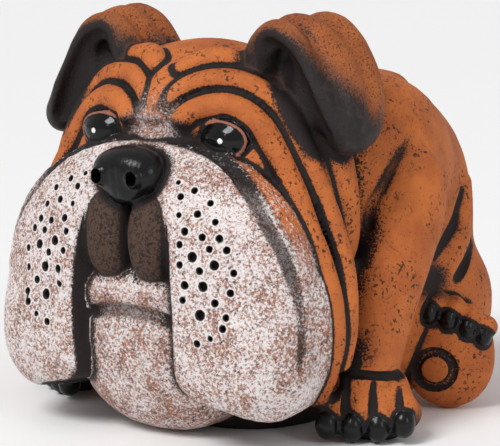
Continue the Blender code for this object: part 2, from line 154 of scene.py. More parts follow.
PAD_GROOVE = 1.8
SOCKET_DEPTH = 4
TAIL = [(0, 118, 52, 11), (0, 127, 58, 9), (0, 131, 67, 6.5)]

# Whisker holes poked in each jowl: distance from the middle, height, and radius.
WHISKERS = [(27, 124, 1.1), (36, 121, 1.6), (30, 118, 1.6), (45, 116, 1.5), (31, 110, 1.3), (40, 111, 1.7),
            (49, 108, 1.5), (35, 103, 1.8), (44, 101, 1.7), (52, 101, 1.7), (33, 97, 1.6), (48, 96, 1.6),
            (56, 96, 1.7), (40, 92, 2.3), (51, 89, 2.2), (34, 88, 1.6), (44, 86, 1.7), (60, 86, 1.6),
            (37, 79, 1.9), (46, 79, 2.3), (59, 77, 1.7), (36, 72, 1.5), (52, 72, 1.8), (45, 66, 2.5),
            (58, 66, 1.6), (57, 61, 1.7), (51, 56, 1.3), (44, 53, 1.7)]
WHISKER_DEPTH = 3.5
WHISKER_SIDES = 16
WHISKER_REACH = 8

# A hole's cutter stands this far out of the jowl, and its two ends are these shares of the hole's radius.
WHISKER_OUT = 2
WHISKER_TAPER = (0.7, 1.15)

# Hand-made unevenness: height and spacing in millimetres, and seed, of each layer of lumps.
BROAD_LUMPS = [(0.25, 16, 1), (0.12, 6, 2)]
ROUGH_LUMPS = [(0.16, 3, 3), (0.12, 1.6, 4)]

# How much of the rough lumps shows on the coat, and how much more on the muzzle.
COAT_ROUGHNESS = 0.35
MUZZLE_ROUGHNESS = 0.9

# The raised ring round a whisker hole: its height, its distance from the hole's wall and half its width.
RING_HEIGHT = 0.3
RING_OUT = 0.4
RING_WIDTH = 1.2

# How far the skin is set in, how near the figure's surface a vertex of the skin lies, and how near the ground
# a vertex keeps its height.
SKIN_INSET = 0.6
ON_SKIN = 0.6
ON_GROUND = 0.5


def turn_matrix(degrees):
    """Rotation about Z."""
    c, s = np.cos(radians(degrees)), np.sin(radians(degrees))
    return np.array([[c, -s, 0], [s, c, 0], [0, 0, 1]])


def within(points, line):
    """Which points lie in the box round a line of stations, widened by their radii and by REACH."""
    low = (line[:, :3] - line[:, 3:]).min(0) - REACH
    high = (line[:, :3] + line[:, 3:]).max(0) + REACH
    return ((points > low) & (points < high)).all(1)


def ball(points, centre, radii, turn=0, power=2.0):
    """Distance to an ellipsoid, turned about Z. A power above 2 squares it up."""
    middle, radii = np.array(centre, float), np.array(radii, float)
    reach = np.full((2, 1), max(radii))
    near = within(points, np.column_stack([[middle, middle], reach]))
    scaled = np.abs((points[near] - middle) @ turn_matrix(turn) / radii) + 1e-6
    if power == 2.0:
        size = np.sqrt((scaled**2).sum(1))
        slope = np.sqrt(((scaled / radii) ** 2).sum(1)) / size
    else:
        size = (scaled**power).sum(1) ** (1 / power)
        slope = np.sqrt(((scaled ** (power - 1) / radii) ** 2).sum(1)) / size ** (power - 1)
    distance = np.full(len(points), REACH)
    distance[near] = np.minimum((size - 1) / slope, REACH)
    return distance


def smooth_line(stations):
    """Points along a curve that passes through every station."""
    s = np.array(stations, float)
    s = np.vstack([2 * s[0] - s[1], s, 2 * s[-1] - s[-2]])
    t = np.linspace(0, 1, CURVE_STEPS, endpoint=False)[:, None]
    spans = []
    for a, b, c, d in zip(s[:-3], s[1:-2], s[2:-1], s[3:]):
        spans.append(0.5 * (2 * b + (c - a) * t + (2 * a - 5 * b + 4 * c - d) * t**2
                            + (3 * b - a - 3 * c + d) * t**3))
    return np.vstack(spans + [s[-2:-1]])


def roll(points, stations):
    """Distance to a roll of clay whose radius changes from station to station."""
    line = smooth_line(stations)
    near = within(points, line)
    close = points[near]
    nearest = np.full(len(close), REACH)
    for first in range(0, len(line) - 1, CURVE_STEPS):
        span = line[first:first + CURVE_STEPS + 1]
        inside = within(close, span)
        part = close[inside]
        best = nearest[inside]
        for start, end in zip(span[:-1], span[1:]):
            along = end[:3] - start[:3]
            t = np.clip((part - start[:3]) @ along / (along @ along), 0, 1)
            offset = part - start[:3] - t[:, None] * along
            best = np.minimum(best, np.sqrt((offset**2).sum(1)) - start[3] - t * (end[3] - start[3]))
        nearest[inside] = best
    distance = np.full(len(points), REACH)
    distance[near] = nearest
    return distance


def melt(a, b, width):
    """Joins two masses with a fillet about as wide as width."""
    overlap = np.maximum(width - np.abs(a - b), 0) / width
    return np.minimum(a, b) - overlap**2 * width / 4


def carve(mass, tool, width):
    """Takes tool out of mass and eases the edge."""
    return -melt(-mass, tool, width)


def mirrored(points):
    """A copy of the points with those of the right side brought over to the left."""
    p = points * [1, 1, 1]
    p[:, 0] = np.abs(p[:, 0])
    return p


def head_core(p):
    skull = ball(p, (0, -20, 127), (67, 47, 57))
    cheeks = ball(p, (0, -32, 94), (80, 42, 84))
    return melt(skull, cheeks, REACH)


def eye(p):
    return ball(p, EYE_CENTRE, EYE_RADII)


def lids(p):
    """A thin ring laid on the eye."""
    angles = np.linspace(0, 2 * np.pi, 13)
    x = EYE_OPENING[0] * np.cos(angles)
    z = EYE_OPENING[1] * np.sin(angles)
    sink = np.sqrt(1 - (x / EYE_RADII[0]) ** 2 - (z / EYE_RADII[2]) ** 2)
    ring = np.column_stack([x, -EYE_RADII[1] * sink, z]) + EYE_CENTRE
    return roll(p, np.column_stack([ring, np.full(len(ring), LID_RADIUS)]))


def face(p):
    """The head with its eye sockets, eyes and nested rolls."""
    clay = melt(head_core(p), roll(p, BLAZE), 8)
    clay = carve(clay, ball(p, (36, -71, 140), (17, 12, 11.5)), 4)
    clay = melt(clay, roll(p, CHEEK_FOLD), 3)
    for stations in (BROW_ROLL, OUTER_ROLL, CROWN_ROLL):
        clay = melt(clay, roll(p, stations), 0.8)
    clay = melt(melt(clay, eye(p), 0.3), lids(p), 0.5)
    return clay


def jowl_gap(p):
    """The space between the jowls, which widens under them."""
    return melt(roll(p, JOWL_GAP), ball(p, (0, -78, 0), (74, 52, 26), power=2.2), REACH)


def jowls(p):
    bag = ball(p, (0, -64, 68), (88, 33, 74), power=2.2)
    bag = melt(bag, ball(p, (50, -63, 47), (37.5, 31, 36), power=2.4), 5)
    return carve(bag, jowl_gap(p), 5)


def chin(p):
    clay = melt(ball(p, (0, -55, 52), (51, 33.5, 52), power=2.3), roll(p, LIP), 9)
    return carve(clay, roll(p, LIP_GROOVE), 4)


def lobes(p):
    """The two lobes under the nose."""
    return ball(p, (12, -83.5, 97), (12.5, 12, 21), power=2.4)


def nose(p):
    pad = melt(ball(p, (0, -85, 130), (18, 13, 9.5)), ball(p, (0, -88, 122), (12.5, 9.5, 10.5)), 6)
    pad = melt(pad, ball(p, (10, -88, 126), (8.5, 9, 8)), 4)
    pad = melt(pad, ball(p, NOSTRIL, (4.4, 3, 5)), 1.5)
    pad = carve(pad, ball(p, NOSTRIL, (2.4, 7, 3.2)), 0.8)
    return carve(pad, roll(p, NOSE_GROOVE), 0.8)


def muzzle(p):
    """Two hanging jowls, with the chin and the two lobes under the nose set in the gap between them."""
    clay = melt(jowls(p), lobes(p), 1.5)
    clay = melt(clay, chin(p), 2)
    return melt(clay, nose(p), 1)


def ear(p):
    ridges = melt(roll(p, EAR_FRONT), roll(p, EAR_MIDDLE), 4)
    ridges = melt(ridges, roll(p, EAR_BACK), 4)
    web = ball(p, (62, -20, 160), (20, 20, 26))
    return carve(melt(ridges, web, 8), roll(p, EAR_HOLLOW), 3)


def trunk(p):
    back = ball(p, (0, 54, 77), (86, 73, 89), power=2.7)
    belly = ball(p, (0, 20, 28), (60, 76, 38), power=3.0)
    return melt(back, belly, REACH)


def claws(p):
    clay = np.full(len(p), REACH)
    for centre in FRONT_CLAWS:
        clay = melt(clay, ball(p, centre, (6.2, 6.5, 7.6), turn=TOE_TURN), 0.5)
    for centre in HIND_CLAWS:
        clay = melt(clay, ball(p, centre, (5.4, 7, 6.6), turn=FOOT_TURN), 0.5)
    return clay


def front_leg(p):
    clay = roll(p, FRONT_LEG)
    clay = melt(clay, ball(p, (90, -15, 12), (22, 17, 13), turn=TOE_TURN), 5)
    for wrist, tip in FRONT_TOES:
        clay = melt(clay, roll(p, [wrist + (6.5,), tip + (6.5,)]), 1.5)
    for groove in TOE_GROOVES:
        clay = carve(clay, roll(p, groove), 1.5)
    return carve(clay, roll(p, WRIST_GROOVE), 2)


def pad_groove(p, foot):
    """The ring groove round the pad, the same depth all round below the sole."""
    local = (p - np.array(PAD_CENTRE)) @ turn_matrix(FOOT_TURN)
    ring = np.abs(np.hypot(local[:, 0], local[:, 2]) - PAD_RADIUS) - PAD_GROOVE
    return np.maximum(np.maximum(ring, -foot - PAD_GROOVE), local[:, 1] - 3 * PAD_GROOVE)


def hind_foot(p):
    """The foot stands on its heel with the sole forward."""
    sole = ball(p, (88.5, 55.5, 26.5), (23, 12.5, 26.5), turn=FOOT_TURN, power=2.1)
    clay = carve(sole, pad_groove(p, sole), 1)
    for centre in HIND_TOES:
        clay = melt(clay, ball(p, centre, (6.8, 8, 6.3), turn=FOOT_TURN), 2)
    return clay


def thigh(p):
    return ball(p, (66, 74, 48), (30, 36, 38))


def shoulder(p):
    return ball(p, (56, 34, 124), (34, 44, 42))


def body(p):
    clay = melt(trunk(p), shoulder(p), REACH)
    clay = melt(clay, roll(p, NECK_ROLL), 2)
    clay = melt(clay, front_leg(p), 6)
    clay = melt(clay, roll(p, FLANK_FOLD), 4)
    for groove in (SHOULDER_GROOVE, FLANK_GROOVE):
        clay = carve(clay, roll(p, groove), 3)
    clay = melt(clay, roll(p, TAIL), 6)
    clay = melt(melt(clay, thigh(p), 6), hind_foot(p), 1.5)
    clay = carve(clay, roll(p, HAUNCH_GROOVE), 2)
    return melt(clay, claws(p), 0.7)


def rim(p):
    """The low collar round the planting mouth."""
    x, y = MOUTH_CENTRE
    outer = MOUTH_WIDTH / 2 + RIM_WALL
    return ball(p, (x, y, MOUTH_TOP - 24), (outer, outer, 24), power=5.0)


def figure(points):
    """The whole outside, cut off flat where it stands."""
    p = mirrored(points)
    clay = carve(melt(face(p), muzzle(p), 1), roll(p, JOWL_GROOVE), 3)
    clay = melt(clay, body(p), 3)
    clay = melt(clay, ear(p), 3)
    return np.maximum(melt(clay, rim(p), 4), -points[:, 2])


def hollow(points):
    """The empty inside of the head, the jowls and the body, one wall in from their plain masses."""
    p = mirrored(points)
    head = melt(head_core(p) + SOCKET_DEPTH, melt(jowls(p), chin(p), 8), 8)
    torso = melt(trunk(p), shoulder(p), REACH)
    inside = melt(head, torso, 12) + WALL
    return np.maximum(inside, FLOOR - points[:, 2])


def close_pinches(field):
    """Fills the corners where two masses would touch along an edge alone, so the skin stays one sheet."""
    found = True
    while found:
        found = False
        for first, second in ((0, 1), (0, 2), (1, 2)):
            corners = []
            for i, j in ((0, 0), (0, 1), (1, 0), (1, 1)):
                window = [slice(None)] * 3
                window[first] = slice(i, i - 1 or None)
                window[second] = slice(j, j - 1 or None)
                corners.append(field[tuple(window)])
            solid = [corner < 0 for corner in corners]
            pinch = (solid[0] == solid[3]) & (solid[1] == solid[2]) & (solid[0] != solid[1])
            found = found or bool(pinch.any())
            for corner in corners:
                corner[pinch & (corner >= 0)] = -0.001


def sample(mass, low, high, step):
    """Distances on a grid. Blocks of it that lie clear of the surface share one value."""
    block = 4
    counts = np.ceil((np.array(high) - low) / (step * block)).astype(int)
    middles = np.stack(np.indices(counts), -1).reshape(-1, 3) * block + (block - 1) / 2
    coarse = mass(low + step * middles)
    near = np.argwhere(np.abs(coarse) < step * block * 0.9).ravel()
    field = np.repeat(coarse, block**3).reshape(*counts, block, block, block)
    inner = np.stack(np.indices((block,) * 3), -1).reshape(-1, 3) - (block - 1) / 2
    fine = (middles[near][:, None] + inner).reshape(-1, 3)
    values = np.concatenate([mass(low + step * part) for part in np.array_split(fine, 32)])
    field.reshape(-1, block**3)[near] = values.reshape(len(near), -1)
    return field.transpose(0, 3, 1, 4, 2, 5).reshape(counts * block)


def skin(mass, low, high, step):
    """Vertices and four-sided faces of the surface where the distance is zero."""
    low = np.array(low, float)
    field = sample(mass, low, high, step)
    close_pinches(field)
    solid = field < 0
    cells = tuple(n - 1 for n in field.shape)
    total = np.zeros(cells + (3,))
    count = np.zeros(cells)
    for axis in range(3):
        for i in (0, 1):
            for j in (0, 1):
                start = np.insert([i, j], axis, 0)
                end = np.insert([i, j], axis, 1)
                a = field[tuple(slice(s, s + n) for s, n in zip(start, cells))]
                b = field[tuple(slice(s, s + n) for s, n in zip(end, cells))]
                crossed = (a < 0) != (b < 0)
                share = np.where(crossed, a / np.where(crossed, a - b, 1), 0)
                for k in range(3):
                    total[..., k] += np.where(crossed, share if k == axis else start[k], 0)
                count += crossed
    used = count > 0
    number = np.full(cells, -1)
    number[used] = np.arange(used.sum())
    vertices = (np.argwhere(used) + total[used] / count[used][:, None]) * step + low
    faces = []
    for axis in range(3):
        b, c = (axis + 1) % 3, (axis + 2) % 3
        here = [slice(1, -1)] * 3
        there = [slice(1, -1)] * 3
        here[axis] = slice(0, -1)
        there[axis] = slice(1, None)
        crossings = np.argwhere(solid[tuple(here)] != solid[tuple(there)])
        leaving = solid[tuple(here)][tuple(crossings.T)]
        corner = crossings + 1
        corner[:, axis] -= 1
        ring = []
        for step_b, step_c in ((1, 1), (0, 1), (0, 0), (1, 0)):
            cell = corner - 0
            cell[:, b] -= step_b
            cell[:, c] -= step_c
            ring.append(number[tuple(cell.T)])
        ring = np.stack(ring, 1)
        faces.append(np.where(leaving[:, None], ring, ring[:, ::-1]))
    return vertices, np.vstack(faces)


def slopes(mass, points, reach=0.3):
    """Unit direction in which the distance grows."""
    steps = np.eye(3) * reach
    grown = np.stack([mass(points + step) - mass(points - step) for step in steps], 1)
    return grown / np.maximum(np.linalg.norm(grown, axis=1, keepdims=True), 1e-9)


def lumps(points, size, seed):
    """Smooth random values between -1 and 1, about size apart."""
    count = 32
    table = np.random.default_rng(seed).uniform(-1, 1, (count,) * 3)
    place = points / size
    cell = np.floor(place).astype(int)
    t = place - cell
    t = t * t * (3 - 2 * t)
    value = np.zeros(len(points))
    for corner in np.ndindex(2, 2, 2):
        share = np.prod(np.where(corner, t, 1 - t), axis=1)
        value += share * table[tuple(((cell + corner) % count).T)]
    return value


def add_object(name, vertices, faces):
    """A mesh object in metres from vertices in millimetres."""
    mesh = bpy.data.meshes.new(name)
    mesh.from_pydata((np.asarray(vertices) * MM).tolist(), [], faces)
    mesh.update()
    thing = bpy.data.objects.new(name, mesh)
    bpy.context.collection.objects.link(thing)
    return thing


def add_skin(name, mass, low, high, step, triangles):
    """A skin thinned to about the given number of triangles."""
    vertices, faces = skin(mass, low, high, step)
    thing = add_object(name, vertices, faces.tolist())
    thin = thing.modifiers.new("Thin", "DECIMATE")
    thin.ratio = min(1.0, triangles / (2 * len(faces)))
    return thing


def rod(start, end, start_radius, end_radius, sides):
    """Vertices and faces of a closed tapered rod."""
    along = Vector(end) - Vector(start)
    turn = np.array(along.to_track_quat("Z", "Y").to_matrix())
    angles = np.linspace(0, 2 * np.pi, sides, endpoint=False)
    circle = np.column_stack([np.cos(angles), np.sin(angles), np.zeros(sides)]) @ turn.T
    vertices = np.vstack([circle * start_radius + start, circle * end_radius + end])
    faces = [(i, (i + 1) % sides, sides + (i + 1) % sides, sides + i) for i in range(sides)]
    faces += [tuple(reversed(range(sides))), tuple(range(sides, 2 * sides))]
    return vertices, faces


def cut_away(thing, cutter):
    cut = thing.modifiers.new(cutter.name, "BOOLEAN")
    cut.operation = "DIFFERENCE"
    cut.object = cutter
    cut.solver = "MANIFOLD"


def whisker_holes():
    """Where each whisker hole starts on the jowls, the way out of it, and its radius.

    Each spot starts in front of the muzzle and is moved straight back until it lies on the jowls.
    """
    in_front, moves, share = -110.0, 60, 0.8
    marks = np.array(WHISKERS, float)
    marks = np.vstack([marks, marks * [-1, 1, 1]])
    spots = np.column_stack([marks[:, 0], np.full(len(marks), in_front), marks[:, 1]])
    for _ in range(moves):
        spots[:, 1] += share * np.clip(jowls(mirrored(spots)), -1, REACH)
    outward = slopes(lambda points: jowls(mirrored(points)), spots)
    return spots, outward, marks[:, 2]


def whisker_cutter():
    """One tapered rod for each whisker hole, square to the jowl."""
    inner, outer = WHISKER_TAPER
    vertices, faces = [], []
    for spot, direction, radius in zip(*whisker_holes()):
        bottom, top = spot - WHISKER_DEPTH * direction, spot + WHISKER_OUT * direction
        ring, sides = rod(bottom, top, inner * radius, outer * radius, WHISKER_SIDES)
        faces += [tuple(i + len(vertices) * len(ring) for i in face) for face in sides]
        vertices.append(ring)
    return add_object("whisker_cutter", np.vstack(vertices), faces)


def whisker_distance(points):
    """Distance to the nearest whisker hole, 0 at its wall."""
    nearest = np.full(len(points), REACH)
    for spot, direction, radius in zip(*whisker_holes()):
        close = np.flatnonzero(np.abs(points - spot).max(1) < WHISKER_REACH)
        offset = points[close] - spot
        along = np.clip(offset @ direction, -WHISKER_DEPTH, 0)
        away = np.linalg.norm(offset - along[:, None] * direction, axis=1) - radius
        nearest[close] = np.minimum(nearest[close], away)
    return nearest


def closeness(points, outward, reach):
    """How far other clay closes in on each spot within reach: 0 in the open, 1 in a tight crease."""
    return np.clip(1 - figure(points + outward * reach) / reach, 0, 1)


def masks(points, outward):
    """Distances in millimetres to the painted masses, and where dark wash and painted shade go, at each
    vertex.
    """
    p = mirrored(points)
    found = {
        "jowls": jowls(p),
        "chin": chin(p),
        "lobes": lobes(p),
        "nose": nose(p),
        "eye": eye(p),
        "lids": lids(p),
        "claws": claws(p),
        "ear": ear(p),
        "shade_above_toes": ball(p, ABOVE_TOES, ABOVE_TOES_RADII),
        "glint": np.linalg.norm(p - np.array(GLINT), axis=1) - GLINT_RADIUS,
        "whiskers": whisker_distance(points),
    }
    rolls = {"cheek_fold": CHEEK_FOLD, "groove": JOWL_GROOVE, "lip": LIP, "lip_groove": LIP_GROOVE,
             "ear_hollow": EAR_HOLLOW}
    for name, stations in rolls.items():
        found[name] = roll(p, stations)
    grooves = [SHOULDER_GROOVE, FLANK_GROOVE, HAUNCH_GROOVE, WRIST_GROOVE] + TOE_GROOVES
    found["lines"] = np.minimum.reduce([roll(p, stations) for stations in grooves])
    found["gap"] = np.where(np.minimum(found["chin"], found["lobes"]) > 0.7, np.abs(jowl_gap(p)), REACH)
    found["junction"] = junctions(p, found)
    for name, reach in (("crease", 3), ("fold", 6), ("shade", 12)):
        found[name] = closeness(points, outward, reach)
    return found


def junctions(p, found):
    """Distance to the second nearest mass, which is small along the lines where two masses meet."""
    neighbours = [roll(p, stations) for stations in (BROW_ROLL, OUTER_ROLL, CROWN_ROLL, NECK_ROLL)]
    neighbours.append(melt(head_core(p), roll(p, BLAZE), 8))
    neighbours.append(np.minimum.reduce([trunk(p), shoulder(p), front_leg(p), thigh(p)]))
    neighbours.append(hind_foot(p))
    neighbours.append(np.minimum(found["eye"], found["lids"]))
    neighbours.append(np.minimum(found["jowls"], found["cheek_fold"]))
    neighbours += [found[name] for name in ("chin", "lobes", "nose", "claws", "ear")]
    return np.partition(np.stack(neighbours), 1, axis=0)[1]


def planter_mesh():
    """The casting, with its hollow, mouth, drain and whisker holes cut."""
    clay = add_skin("clay", figure, FIGURE_LOW, FIGURE_HIGH, SKIN_STEP, SKIN_TRIANGLES)
    inside = add_skin("inside", hollow, HOLLOW_LOW, HOLLOW_HIGH, HOLLOW_STEP, HOLLOW_TRIANGLES)
    mouth = upright_hole("mouth", MOUTH_CENTRE, MOUTH_WIDTH, *MOUTH_CUT)
    drain = upright_hole("drain", DRAIN_CENTRE, DRAIN_WIDTH, -FLOOR, 2 * FLOOR)
    cutters = [inside, mouth, drain, whisker_cutter()]
    for cutter in cutters:
        cut_away(clay, cutter)
    depsgraph = bpy.context.evaluated_depsgraph_get()
    mesh = bpy.data.meshes.new_from_object(clay.evaluated_get(depsgraph))
    for thing in cutters + [clay]:
        bpy.data.objects.remove(thing)
    return mesh


def upright_hole(name, centre, width, bottom, top):
    x, y = centre
    return add_object(name, *rod((x, y, bottom), (x, y, top), width / 2, width / 2, HOLE_SIDES))


def relief(points, found):
    """Outward height in millimetres of the hand-made unevenness and of the rings round the whisker holes.

    The whole skin is set in by SKIN_INSET to make room for it.
    """
    soft = np.clip(np.minimum.reduce([found["eye"], found["nose"], found["claws"]]) / 2, 0, 1)
    on_muzzle = np.clip(1 - np.minimum(found["jowls"], found["chin"]), 0, 1)
    broad = sum(height * lumps(points, size, seed) for height, size, seed in BROAD_LUMPS)
    rough = sum(height * lumps(points, size, seed) for height, size, seed in ROUGH_LUMPS)
    rings = RING_HEIGHT * np.clip(1 - np.abs(found["whiskers"] - RING_OUT) / RING_WIDTH, 0, 1)
    rough_share = COAT_ROUGHNESS + MUZZLE_ROUGHNESS * on_muzzle
    return soft * (broad + rough * rough_share) + rings - SKIN_INSET


class Paint:
    """A material whose nodes are laid down by short calls. Each returns the socket that holds its result."""

    def __init__(self, name):
        self.material = bpy.data.materials.new(name)
        self.material.use_nodes = True
        self.tree = self.material.node_tree
        self.shader = self.tree.nodes["Principled BSDF"]
        self.place = self.tree.nodes.new("ShaderNodeTexCoord").outputs["Object"]

    def feed(self, socket, value):
        if isinstance(value, bpy.types.NodeSocket):
            self.tree.links.new(value, socket)
        else:
            socket.default_value = value

    def math(self, operation, first, second=0.0):
        node = self.tree.nodes.new("ShaderNodeMath")
        node.operation = operation
        self.feed(node.inputs[0], first)
        self.feed(node.inputs[1], second)
        return node.outputs[0]

    def chain(self, operation, values):
        """One operation through all the values, from the left."""
        total = values[0]
        for value in values[1:]:
            total = self.math(operation, total, value)
        return total

    def add(self, *values):
        return self.chain("ADD", values)

    def times(self, *values):
        return self.chain("MULTIPLY", values)

    def least(self, *values):
        return self.chain("MINIMUM", values)

    def most(self, *values):
        return self.chain("MAXIMUM", values)

    def step(self, value, low, high):
        """0 at low and past it, 1 at high and past it, smooth between. Either may be the larger value."""
        node = self.tree.nodes.new("ShaderNodeMapRange")
        node.interpolation_type = "SMOOTHSTEP"
        self.feed(node.inputs["Value"], value)
        node.inputs["From Min"].default_value = min(low, high)
        node.inputs["From Max"].default_value = max(low, high)
        node.inputs["To Min"].default_value = float(low > high)
        node.inputs["To Max"].default_value = float(low <= high)
        return node.outputs["Result"]

    def ragged(self, value, noise, shake, low, high):
        """A step whose edge the noise breaks up. The noise is added to the value, shake times as strong."""
        return self.step(self.add(value, self.times(noise, shake)), low, high)

    def grain(self, size, detail=3.0, roughness=0.6, shift=0.0):
        """Noise between 0 and 1 with features about size millimetres across."""
        node = self.tree.nodes.new("ShaderNodeTexNoise")
        node.noise_dimensions = "4D"
        self.feed(node.inputs["Vector"], self.place)
        node.inputs["W"].default_value = shift
        node.inputs["Scale"].default_value = 1 / (size * MM)
        node.inputs["Detail"].default_value = detail
        node.inputs["Roughness"].default_value = roughness
        return node.outputs["Fac"]

    def position(self):
        """Place on the figure in metres, by axis."""
        node = self.tree.nodes.new("ShaderNodeSeparateXYZ")
        self.feed(node.inputs[0], self.place)
        return node.outputs

    def mask(self, name):
        node = self.tree.nodes.new("ShaderNodeAttribute")
        node.attribute_name = name
        return node.outputs["Fac"]

    def mix(self, share, first, second):
        node = self.tree.nodes.new("ShaderNodeMix")
        node.data_type = "RGBA"
        self.feed(node.inputs["Factor"], share)
        self.feed(node.inputs["A"], first)
        self.feed(node.inputs["B"], second)
        return node.outputs["Result"]

    def coated(self, name, under, over):
        """One colour over another, on the mass that the mask names."""
        return self.mix(self.step(self.mask(name), 0.8, 0.3), under, over)

    def bump(self, height, depth):
        """A bump whose full height is depth millimetres."""
        node = self.tree.nodes.new("ShaderNodeBump")
        node.inputs["Distance"].default_value = depth * MM
        self.feed(node.inputs["Height"], height)
        return node.outputs["Normal"]


ORANGE = (0.56, 0.155, 0.034, 1)
DEEP_ORANGE = (0.40, 0.100, 0.024, 1)
# Dark wash, also laid as painted shade under the belly and the lip, beside the chin and above the hind toes.
WASH_AND_SHADE = (0.014, 0.009, 0.008, 1)
CHARCOAL = (0.016, 0.013, 0.013, 1)
# Lighter charcoal of worn patches, also laid as painted sheen on the ears.
WORN_AND_SHEEN_CHARCOAL = (0.070, 0.048, 0.044, 1)
CHALK = (0.79, 0.74, 0.735, 1)
RUST = (0.36, 0.155, 0.095, 1)
SLATE = (0.075, 0.062, 0.066, 1)
UMBER = (0.080, 0.042, 0.028, 1)
PINK = (0.42, 0.16, 0.10, 1)
GLOSS = (0.004, 0.004, 0.0045, 1)
GLINT_WHITE = (0.9, 0.9, 0.9, 1)

# Dark wash and painted shade over the orange and over the muzzle: the mask, how far the speckle shakes it,
# the values at which the darkening is none and full, and how much of it shows.
COAT_WASH_AND_SHADE = [
    ("junction", 1.6, 1.7, 1.2, 1.0),
    ("junction", 9.0, 1.3, 0.8, 1.0),
    ("lines", 14.0, 0.6, -0.4, 1.0),
    ("crease", 0.9, 0.34, 0.48, 1.0),
    ("fold", 1.6, 0.46, 0.62, 1.0),
    ("shade", 3.2, 0.66, 0.84, 1.0),
    ("groove", 12.0, 5.0, 2.5, 1.0),
    # Darker on the clay within a few millimetres of the ear, on the neck under it and round its base.
    ("ear", 22.0, 4.5, 1.5, 1.0),
    # Painted shade on the spot above the hind toes.
    ("shade_above_toes", 26.0, 2.0, -5.0, 1.0),
    ("lids", 2.0, 0.9, 0.5, 1.0),
]
MUZZLE_WASH_AND_SHADE = [
    ("junction", 3.0, 1.0, 0.5, 1.0),
    ("crease", 0.9, 0.30, 0.46, 1.0),
    ("fold", 2.5, 0.46, 0.66, 1.0),
    ("gap", 3.0, 1.3, 0.8, 1.0),
    ("groove", 8.0, 1.0, 0.0, 0.85),
    # Painted shadow under the lip.
    ("lip_groove", 12.0, 2.2, 0.8, 0.6),
    ("nose", 12.0, 4.0, 2.0, 1.0),
    ("whiskers", 0.0, 0.4, 0.0, 0.96),
]


def painted_terracotta():
    """Matte orange, dark wash in the folds, painted shade, a chalky muzzle, and gloss black eyes, nose and
    claws.
    """
    paint = Paint("painted_terracotta")
    speckle = paint.add(paint.grain(1.0, 3.0, 0.75, 3.0), -0.5)
    wash_and_painted_shade = wash_and_shade_on_coat(paint, speckle)
    ear = ear_dark(paint, speckle)
    colour = paint.mix(ear, coat(paint), charcoal(paint))
    colour = muzzle_paint(paint, paint.mix(wash_and_painted_shade, colour, WASH_AND_SHADE), speckle)
    colour = paint.mix(wash_and_shade_on_muzzle(paint, speckle), colour, WASH_AND_SHADE)
    colour, gloss = gloss_paint(paint, colour)
    paint.feed(paint.shader.inputs["Base Color"], colour)
    on_eye = paint.step(paint.mask("eye"), 0.4, 0.2)
    roughness = paint.add(0.66, paint.times(gloss, -0.40), paint.times(on_eye, -0.16),
                          paint.times(ear, -0.16))
    paint.feed(paint.shader.inputs["Roughness"], roughness)
    paint.shader.inputs["Specular IOR Level"].default_value = 0.28
    matte = paint.math("SUBTRACT", 1.0, gloss)
    tooled = paint.times(paint.grain(4.5, 2.0), paint.add(matte, paint.step(paint.mask("nose"), 0.4, 0.2)))
    clay = paint.add(paint.times(paint.grain(1.2, 4.0, 0.7), matte), paint.times(tooled, 0.7))
    paint.feed(paint.shader.inputs["Normal"], paint.bump(clay, 0.55))
    return paint.material


def coat(paint):
    """Orange paint with deeper patches."""
    return paint.mix(paint.step(paint.grain(20, 3.0), 0.35, 0.7), ORANGE, DEEP_ORANGE)


def charcoal(paint):
    """The charcoal of the ears, with lighter worn patches that also stand in as painted sheen."""
    worn_and_sheen = paint.times(paint.step(paint.grain(7, 4.0, 0.7, 21.0), 0.45, 0.75), 0.8)
    return paint.mix(worn_and_sheen, CHARCOAL, WORN_AND_SHEEN_CHARCOAL)


def wash_and_shade_share(paint, speckle, edges):
    """The most dark wash and painted shade that any of the edges gives."""
    return paint.most(*[paint.times(paint.ragged(paint.mask(name), speckle, shake, none, full), share)
                        for name, shake, none, full, share in edges])


def wash_and_shade_on_coat(paint, speckle):
    """The share of dark wash and painted shade on the orange: solid in folds, flecks that thin out beside
    them.
    """
    tight = paint.ragged(paint.mask("crease"), speckle, 0.6, 0.10, 0.24)
    groove = paint.times(paint.ragged(paint.mask("lines"), speckle, 3.0, 1.2, 0.7), tight)
    place = paint.position()
    # Painted shadow low on the front of the figure, under the jowls and the belly near the floor.
    painted_shadow_underneath = paint.times(paint.ragged(place["Z"], speckle, 0.03, 0.018, 0.008),
                             paint.step(place["Y"], 0.03, -0.01))
    pits = paint.times(paint.step(paint.grain(1.9, 2.0, 0.65, 7.0), 0.56, 0.62),
                       paint.step(paint.grain(16, 2.0, 0.5, 9.0), 0.43, 0.58))
    total = paint.most(wash_and_shade_share(paint, speckle, COAT_WASH_AND_SHADE), groove, painted_shadow_underneath, paint.times(pits, 0.85))
    total = paint.times(total, paint.step(paint.mask("ear"), -0.3, 0.6))
    in_ear = paint.ragged(paint.mask("ear_hollow"), speckle, 12.0, 7.0, 5.0)
    return paint.most(total, in_ear)


def ear_dark(paint, speckle):
    """The share of charcoal on the ears: in the hollow and creases, on the front fold, up from the tips."""
    place = paint.position()
    forward = paint.add(place["Z"], paint.times(place["Y"], 1.6))
    front = paint.ragged(forward, speckle, 0.06, 0.128, 0.108)
    tip = paint.ragged(place["Z"], speckle, 0.06, 0.160, 0.146)
    inner = paint.ragged(paint.mask("ear_hollow"), speckle, 8.0, 3.0, 1.5)
    recess = paint.ragged(paint.mask("shade"), speckle, 1.2, 0.32, 0.50)
    crease = paint.ragged(paint.mask("fold"), speckle, 1.0, 0.24, 0.40)
    dark = paint.most(front, tip, inner, recess, crease)
    return paint.times(paint.step(paint.mask("ear"), 0.8, 0.0), dark)


